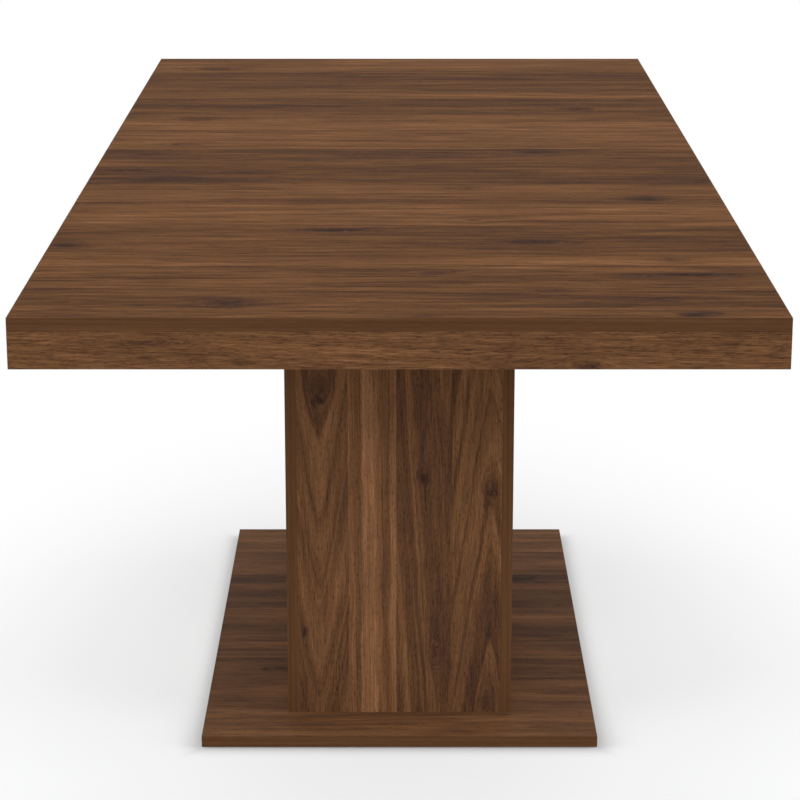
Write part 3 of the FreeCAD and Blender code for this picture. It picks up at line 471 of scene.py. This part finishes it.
def plainWood(name, along, across, pale, deep):
    # planed wood with short ray flecks
    material, tree, shader = newMaterial(name, Roughness=0.6, Specular_IOR_Level=0.3)
    place = objectFields(tree)
    streaks = noise(
        place[along], place[across], 5.0, 160.0, depth=1.0, detail=3.0, roughness=0.6
    )
    flecks = noise(place[along], place[across], 190.0, 1500.0, depth=5.0, detail=1.0)
    flecks = flecks.step(0.60, 0.72)
    colourBy(tree, shader, streaks - flecks * 0.25, [(0.2, deep), (0.7, pale)])
    raiseBump(tree, shader, streaks - flecks * 0.5, strength=0.2, distance=0.0003)
    return material


def chipboard(name):
    # pressed chips: cells of many tones
    material, tree, shader = newMaterial(name, Roughness=0.85, Specular_IOR_Level=0.2)
    place = tree.nodes.new("ShaderNodeTexCoord")
    chips = tree.nodes.new("ShaderNodeTexVoronoi")
    chips.inputs["Scale"].default_value = 260.0
    tree.links.new(place.outputs["Object"], chips.inputs["Vector"])
    split = tree.nodes.new("ShaderNodeSeparateColor")
    tree.links.new(chips.outputs["Color"], split.inputs[0])
    level = Field(tree, split.outputs[0])
    colourBy(tree, shader, level, [
        (0.0, (150, 118, 80)), (0.5, (186, 152, 108)), (1.0, (214, 186, 140)),
    ])
    raiseBump(tree, shader, level, strength=0.3, distance=0.0005)
    return material


# Metals and plastics

def metal(name, tones, roughness, brushing):
    # brushed or drawn metal: fine lines along Y, and a slow cloud of wear
    material, tree, shader = newMaterial(name, Metallic=1.0, Roughness=roughness)
    place = objectFields(tree)
    lines = noise(place["Y"], place["X"], 12.0, 1800.0, depth=3.0)
    cloud = noise(place["Y"], place["X"], 25.0, 40.0, depth=8.0, detail=3.0)
    level = (lines - 0.5) * brushing + (cloud - 0.5) * 0.8 + 0.5
    colourBy(tree, shader, level, [(0.2, tones[0]), (0.8, tones[1])])
    worn = (lines - 0.5) * 0.25 + (cloud - 0.5) * 0.2 + roughness
    tree.links.new(worn.socket, shader.inputs["Roughness"])
    raiseBump(tree, shader, lines, strength=0.1, distance=0.0001)
    return material


def powderCoat(name):
    # black paint with the small waves of a baked powder
    material, tree, shader = newMaterial(name, Roughness=0.5, Specular_IOR_Level=0.5)
    place = objectFields(tree)
    waves = noise(place["X"] + place["Z"], place["Y"], 700.0, 700.0, depth=2.0)
    cloud = noise(place["X"], place["Y"], 14.0, 14.0, depth=6.0)
    colourBy(tree, shader, cloud, [(0.3, (30, 30, 31)), (0.7, (44, 44, 45))])
    raiseBump(tree, shader, waves, strength=0.35, distance=0.0002)
    return material


def moulded(name, tones, roughness, dotScale):
    # moulded plastic with a faint cloud and a fine spark-eroded texture
    material, tree, shader = newMaterial(name, Roughness=roughness, Specular_IOR_Level=0.45)
    place = objectFields(tree)
    slant = place["X"] + place["Z"]
    cloud = noise(slant, place["Y"], 60.0, 60.0, depth=4.0)
    dots = noise(slant, place["Y"], dotScale, dotScale, depth=7.0, detail=1.0)
    colourBy(tree, shader, cloud, [(0.3, tones[0]), (0.7, tones[1])])
    raiseBump(tree, shader, dots, strength=0.15, distance=0.0001)
    return material


def pressedFelt(name):
    # short fibres of several greys
    material, tree, shader = newMaterial(
        name, Roughness=0.95, Sheen_Weight=0.4, Specular_IOR_Level=0.1
    )
    place = objectFields(tree)
    fibres = noise(
        place["X"] + place["Z"], place["Y"], 900.0, 1400.0, depth=1.0, detail=3.0, roughness=0.7
    )
    colourBy(tree, shader, fibres, [(0.3, (62, 58, 55)), (0.7, (112, 106, 100))])
    raiseBump(tree, shader, fibres, strength=0.8, distance=0.0006)
    return material


beech = ((206, 170, 124), (168, 128, 84))
materials = {
    "top": walnut("walnutTop", topBoard),
    "endApron": walnut("walnutEndApron", endApron),
    "sideApron": walnut("walnutSideApron", sideApron),
    "columnFront": walnut("walnutColumnFront", columnFront),
    "columnRear": walnut("walnutColumnRear", columnRear),
    "columnSide": walnut("walnutColumnSide", columnSide),
    "basePlate": walnut("walnutBasePlate", basePlate),
    "leaf": walnut("walnutLeaf", leafBoard),
    "flatBand": edgeBand("edgeBandFlat"),
    # painted light: the plinth's and the column's bands are lighter copies of the top's band
    "plinthBandPaintedLight": edgeBand("edgeBandPlinthPaintedLight", paintedLift=bandLook["plinthPaintedLift"]),
    "uprightBandPaintedLight": edgeBand("edgeBandUprightPaintedLight", upright=True, paintedLift=bandLook["columnPaintedLift"]),
    "beechAcross": plainWood("beechAcross", "X", "Y", *beech),
    "beechAlong": plainWood("beechAlong", "Y", "X", *beech),
    "beechUpright": plainWood("beechUpright", "Z", "X", *beech),
    "chipboard": chipboard("chipboard"),
    "zinc": metal("zincPlate", ((140, 143, 148), (182, 184, 188)), 0.36, 0.4),
    # painted shade: the dark metal of the screws' cross recesses stands in for the shade inside
    # them
    "recess": metal("recessShade", ((34, 35, 38), (58, 59, 62)), 0.55, 0.3),
    "aluminium": metal("anodisedAluminium", ((168, 170, 173), (204, 206, 208)), 0.30, 0.9),
    "powderCoat": powderCoat("powderCoat"),
    "nylon": moulded("nylon", ((214, 211, 200), (232, 229, 219)), 0.42, 1200.0),
    "darkPlastic": moulded("darkPlastic", ((30, 27, 25), (42, 38, 35)), 0.5, 900.0),
    "felt": pressedFelt("pressedFelt"),
}
print("materials made:", len(materials))


# Which material each CAD node wears

nodeFinish = {
    "base_plate": "basePlate", "base_edge_bands": "plinthBandPaintedLight", "base_glides": "darkPlastic",
    "column_panel_left": "columnSide", "column_panel_right": "columnSide",
    "column_panel_front": "columnFront", "column_panel_rear": "columnRear",
    "column_edge_bands": "uprightBandPaintedLight", "column_dowels": "beechAcross",
    "column_cam_fittings": "zinc", "column_top_plate": "chipboard",
    "column_mid_brace": "chipboard", "column_floor_cleats": "beechAlong", "base_bolts": "zinc",
    "cross_bearer_front": "powderCoat", "cross_bearer_middle": "powderCoat",
    "cross_bearer_rear": "powderCoat", "bearer_screws": "zinc", "guide_channel_left": "zinc",
    "guide_channel_right": "zinc", "channel_rivets": "zinc", "pinion_axles": "zinc",
    "leaf_lower_half": "leaf", "leaf_upper_half": "leaf", "leaf_pins": "beechAlong",
    "leaf_hinges": "zinc", "leaf_pads": "felt", "leaf_rests": "beechAlong",
    "pinion_left": "nylon", "pinion_right": "nylon",
    "latch_lever_left": "powderCoat", "latch_lever_right": "powderCoat",
}
halfFinish = {
    "top_board": "top", "edge_bands": "flatBand", "end_apron": "endApron",
    "side_apron_left": "sideApron", "side_apron_right": "sideApron",
    "corner_blocks": "beechUpright", "batten": "beechAcross", "rail_left": "aluminium",
    "rail_right": "aluminium", "rack_left": "nylon", "rack_right": "nylon", "screws": "zinc",
    "seam_pins": "beechAlong", "latch_studs": "zinc",
}
for half in ("front", "rear"):
    for piece, finish in halfFinish.items():
        nodeFinish[f"{half}_{piece}"] = finish

for name, finish in nodeFinish.items():
    mesh = nodes[name].data
    mesh.materials.clear()
    mesh.materials.append(materials[finish])
print("finishes given:", len(nodeFinish), "of", len(nodes), "nodes")


# Cross recesses of the screws: a plus sign a hair above each head, dark inside its pale rim; the
# dark is painted shade, a dark sheet standing in for the shade inside a real recess

crossRecess = {
    "arm": 0.0019, "halfWidth": 0.0005, "rise": 0.00004, "sink": 0.0002, "rim": 0.00022,
}
down, up = -1, 1
headFaces = {"halfTop": 0.7278, "bearerBelow": 0.7128, "bearerAbove": 0.7192}
railScrews = (np.array([-0.3075, 0.2565]), np.array([-0.56, -0.40, -0.24, -0.08]))
battenScrews = (np.array([-0.36, -0.18, 0.18, 0.36]), np.array([-0.66]))
bearerLines = np.array([-0.25, 0.0, 0.25])
screwSpots = {
    # piece: body, then rows of (X places, Y places, Z of the head's face, the way it faces)
    "frontScrewRecesses": ("front_half", [
        (railScrews[0], railScrews[1], headFaces["halfTop"], down),
        (battenScrews[0], battenScrews[1], headFaces["halfTop"], down),
    ]),
    "rearScrewRecesses": ("rear_half", [
        (-railScrews[0], -railScrews[1], headFaces["halfTop"], down),
        (battenScrews[0], -battenScrews[1], headFaces["halfTop"], down),
    ]),
    "bearerScrewRecesses": ("pedestal", [
        (np.array([-0.328, 0.328]), bearerLines, headFaces["bearerBelow"], down),
        (np.array([-0.10, 0.10]), bearerLines, headFaces["bearerAbove"], up),
    ]),
}


def crossOutline(extra):
    # the twelve corners of a plus sign, counterclockwise, wider all round by the extra
    a, w = crossRecess["arm"] + extra, crossRecess["halfWidth"] + extra
    return np.array([
        (a, -w), (a, w), (w, w), (w, a), (-w, a), (-w, w),
        (-a, w), (-a, -w), (-w, -w), (-w, -a), (w, -a), (w, -w),
    ])


def screwRecesses(name, body, rows):
    # every recess is the same plus sign, moved to its head: a face, a sloping rim and a foot
    # that is sunk into the head
    inner, outer = crossOutline(0.0), crossOutline(crossRecess["rim"])
    points, faces, count = [], [], 0
    corners = len(inner)
    around = np.arange(corners)
    following = (around + 1) % corners
    rim = np.stack([around + corners, following + corners, following, around], 1)
    for placesX, placesY, height, way in rows:
        faceZ = np.full(corners, height + way * crossRecess["rise"])
        footZ = np.full(corners, height - way * crossRecess["sink"])
        x, y = (grid.ravel() for grid in np.meshgrid(placesX, placesY))
        # a head that faces down has its faces turned round
        order = slice(None, None, way)
        for centre in np.stack([x, y], 1):
            points.append(np.column_stack([inner + centre, faceZ]))
            points.append(np.column_stack([outer + centre, footZ]))
            faces.append((around[order] + count).tolist())
            faces.append((around[::-1][order] + corners + count).tolist())
            faces.extend((rim[:, order] + count).tolist())
            count += 2 * corners
    mesh = bpy.data.meshes.new(name)
    mesh.from_pydata(np.concatenate(points).tolist(), [], faces)
    # the dark recess metal is painted shade
    mesh.materials.append(materials["recess"])
    piece = bpy.data.objects.new(name, mesh)
    bpy.context.scene.collection.objects.link(piece)
    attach(piece, body)


for name, (body, rows) in screwSpots.items():
    screwRecesses(name, body, rows)
print("screw recesses made:", len(screwSpots), "pieces")


# Floor and background

floorLook = {
    "size": 14.0, "gridSteps": 8, "paint": (0.868, 0.88, 0.890, 1.0),
    # light that bounces off the floor onto the table is dimmer, as from a smaller white floor
    "bounce": (0.46, 0.46, 0.46, 1.0),
    # the shadow is deepest at this Y, and the floor turns white in two steps away from there
    "shadeMiddle": -0.60, "leastWhite": 0.265, "nearWhite": 0.28, "nearReach": (0.05, 0.60),
    "farReach": (0.90, 2.0), "sideShare": 2.0,
    # painted contact shadow: the floor is darker and less white close to the plinth, whose half
    # sizes these are
    "plinth": (0.282, 0.457), "contactShadowWidth": 0.018, "contactShadowDepth": 0.64, "contactShadowShade": 0.6,
}


def makeFloor():
    # a flat square of quads at Z = 0
    half = floorLook["size"] / 2
    steps = floorLook["gridSteps"]
    line = np.linspace(-half, half, steps + 1)
    x, y = np.meshgrid(line, line)
    points = np.stack([x.ravel(), y.ravel(), np.zeros(x.size)], 1)
    corner = (np.arange(steps)[:, None] * (steps + 1) + np.arange(steps)).ravel()
    faces = np.stack([corner, corner + 1, corner + steps + 2, corner + steps + 1], 1)
    mesh = bpy.data.meshes.new("studioFloor")
    mesh.from_pydata(points.tolist(), [], faces.tolist())
    floor = bpy.data.objects.new("studioFloor", mesh)
    bpy.context.scene.collection.objects.link(floor)
    return floor


def backgroundRays(tree):
    # one where the camera or a mirror looks straight at the surface
    path = tree.nodes.new("ShaderNodeLightPath")
    rays = Field(tree, path.outputs["Is Camera Ray"])
    rays = rays.math("MAXIMUM", Field(tree, path.outputs["Is Glossy Ray"]))
    return rays.math("MAXIMUM", Field(tree, path.outputs["Is Transmission Ray"]))


def mixShaders(tree, factor, first, second):
    # factor 0 gives the first shader, 1 the second
    mix = tree.nodes.new("ShaderNodeMixShader")
    plug(tree, factor, mix.inputs["Fac"])
    tree.links.new(first.outputs[0], mix.inputs[1])
    tree.links.new(second.outputs[0], mix.inputs[2])
    return mix


def floorMaterial():
    # a pale diffuse floor that keeps the shadow, and turns into plain white further out
    look = floorLook
    material = bpy.data.materials.new("studioWhite")
    material.use_nodes = True
    tree = material.node_tree
    tree.nodes.clear()
    place = objectFields(tree)
    x, y = place["X"], place["Y"]

    back = y - look["shadeMiddle"]
    side = x * look["sideShare"]
    near = (x * x + back * back).math("SQRT").step(*look["nearReach"]) * look["nearWhite"]
    farWhite = 1.0 - look["leastWhite"] - look["nearWhite"]
    far = (side * side + back * back).math("SQRT").step(*look["farReach"]) * farWhite

    outX = x.math("ABSOLUTE") - look["plinth"][0]
    outY = y.math("ABSOLUTE") - look["plinth"][1]
    outside = outX.math("MAXIMUM", outY).math("MAXIMUM", 0.0)
    # painted contact shadow along the plinth: it darkens the floor's paint and takes away its
    # white
    paintedContactShadow = (outside / look["contactShadowWidth"]).bell() * look["contactShadowDepth"]
    glow = (near + far + look["leastWhite"]) * (1.0 - paintedContactShadow) * backgroundRays(tree)

    shade = tuple(look["contactShadowShade"] * value for value in look["paint"][:3]) + (1.0,)
    seen = mixColours(paintedContactShadow, look["paint"], shade)
    bounced = Field(tree, tree.nodes.new("ShaderNodeLightPath").outputs["Is Diffuse Ray"])
    paint = tree.nodes.new("ShaderNodeBsdfDiffuse")
    tree.links.new(mixColours(bounced, seen, look["bounce"]), paint.inputs["Color"])
    white = tree.nodes.new("ShaderNodeEmission")
    white.inputs["Strength"].default_value = 1.0

    # the floor is clear from below, so that the underside can be seen
    clear = tree.nodes.new("ShaderNodeBsdfTransparent")
    facing = Field(tree, tree.nodes.new("ShaderNodeNewGeometry").outputs["Backfacing"])
    surface = mixShaders(tree, facing, mixShaders(tree, glow, paint, white), clear)
    output = tree.nodes.new("ShaderNodeOutputMaterial")
    tree.links.new(surface.outputs[0], output.inputs["Surface"])
    return material


makeFloor().data.materials.append(floorMaterial())

domeLight = 0.30


def makeWorld():
    # a dim dome lights the table, while the camera sees plain white
    world = bpy.data.worlds.new("studio")
    world.use_nodes = True
    tree = world.node_tree
    dome = tree.nodes["Background"]
    backdrop = tree.nodes.new("ShaderNodeBackground")
    for background, strength in ((dome, domeLight), (backdrop, 1.0)):
        background.inputs["Strength"].default_value = strength
        background.inputs["Color"].default_value = (1, 1, 1, 1)
    surface = mixShaders(tree, backgroundRays(tree), dome, backdrop)
    tree.links.new(surface.outputs[0], tree.nodes["World Output"].inputs["Surface"])
    bpy.context.scene.world = world


makeWorld()


# Soft studio lamps: name, place, point they face, width, height, watts

lamps = [
    ("overheadLamp", (0.0, 1.2, 3.2), (0.0, 0.3, 0.5), 3.5, 3.5, 15.0),
    ("frontLamp", (0.0, -6.0, 3.0), (0.0, 0.0, 0.4), 5.0, 2.0, 130.0),
    ("lowFrontLamp", (0.0, -6.0, 1.6), (0.0, 0.0, 0.4), 5.0, 1.6, 35.0),
    ("rearLamp", (0.0, 6.0, 3.0), (0.0, 0.0, 0.4), 5.0, 2.0, 40.0),
    ("leftLamp", (-4.5, -1.0, 2.2), (0.0, 0.0, 0.2), 4.0, 2.0, 174.0),
    ("rightLamp", (4.5, -1.0, 2.2), (0.0, 0.0, 0.2), 4.0, 2.0, 174.0),
    # lies in the gap under the plinth, whose underside would be black when seen from below
    ("underPlinthLamp", (0.0, 0.0, 0.001), (0.0, 0.0, 1.0), 0.56, 0.91, 1.15),
]


def makeLamp(name, place, target, width, height, power):
    # the lamp shines along its own -Z, which is turned to the target
    data = bpy.data.lights.new(name, "AREA")
    data.shape = "RECTANGLE"
    data.size = width
    data.size_y = height
    data.energy = power
    lamp = bpy.data.objects.new(name, data)
    lamp.visible_camera = False
    lamp.location = place
    way = np.array(target) - np.array(place)
    flat = math.hypot(way[0], way[1])
    lamp.rotation_euler = Euler((math.atan2(flat, -way[2]), 0.0, math.atan2(-way[0], way[1])))
    bpy.context.scene.collection.objects.link(lamp)


for lamp in lamps:
    makeLamp(*lamp)
print("floor, world and lamps made")


# Camera: in front of the short end, level from left to right and pitched down

cameraLook = {"place": (0.0008, -3.858, 1.491), "pitch": 15.981, "lens": 116.06, "sensor": 36.0}


def makeCamera():
    data = bpy.data.cameras.new("photoCamera")
    data.lens = cameraLook["lens"]
    data.sensor_width = cameraLook["sensor"]
    camera = bpy.data.objects.new("photoCamera", data)
    camera.location = cameraLook["place"]
    camera.rotation_euler = Euler((math.radians(90.0 - cameraLook["pitch"]), 0.0, 0.0))
    bpy.context.scene.collection.objects.link(camera)
    bpy.context.scene.camera = camera


makeCamera()
bpy.context.scene.view_settings.view_transform = "Standard"
